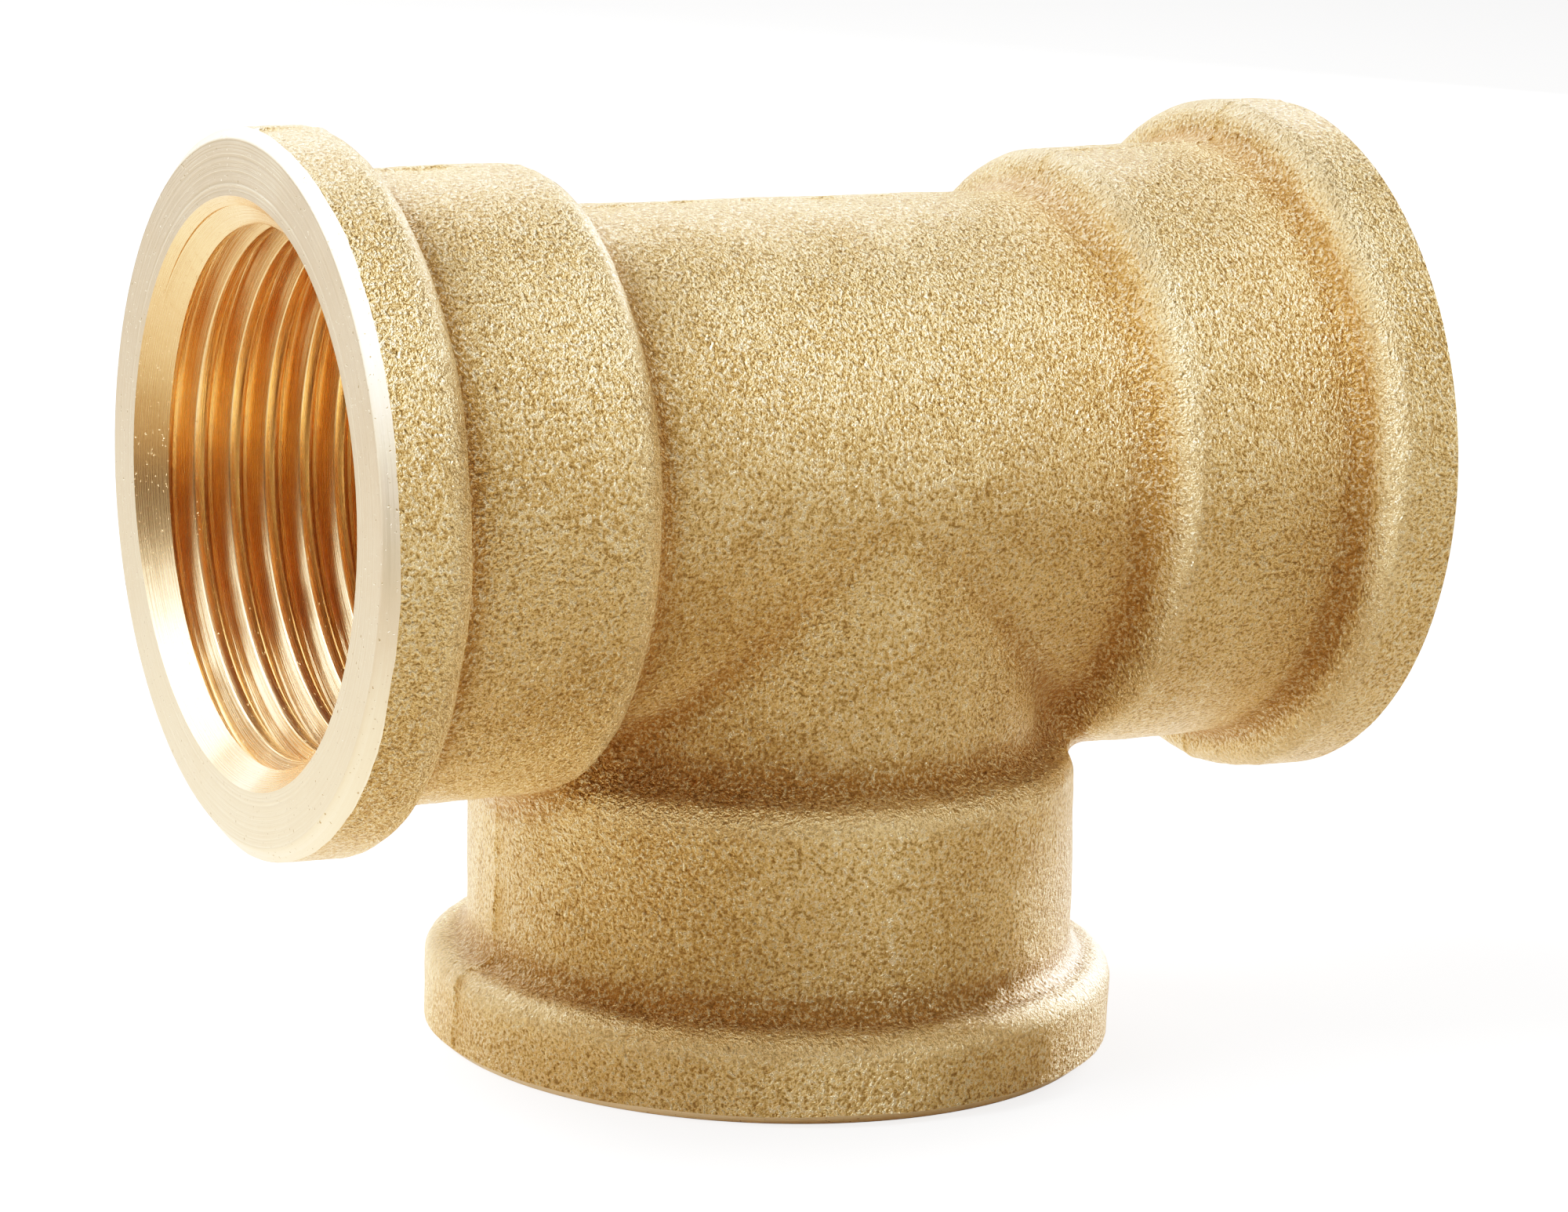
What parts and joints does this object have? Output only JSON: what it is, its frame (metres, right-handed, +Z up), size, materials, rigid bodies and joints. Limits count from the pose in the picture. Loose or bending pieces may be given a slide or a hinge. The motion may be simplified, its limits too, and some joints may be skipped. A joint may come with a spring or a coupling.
{
  "type": "tee fitting",
  "caption": "Equal pipe tee cast in one piece, with beaded mouths, stepped collars and a female parallel pipe thread in each mouth, for joining a branch to a run of pipe.",
  "frame": {"origin": "middle of the branch's mouth face, which the tee stands on", "axes": "+X along the run towards its right mouth, +Z up, away from the branch's mouth; the branch points down"},
  "size_m": [0.056, 0.0336, 0.0448],
  "materials": {
    "cast_brass": "sand-cast and blasted outside, machined at the mouths"
  },
  "bodies": {
    "root": {"tee_body": "cast_brass"}
  },
  "joints": []
}
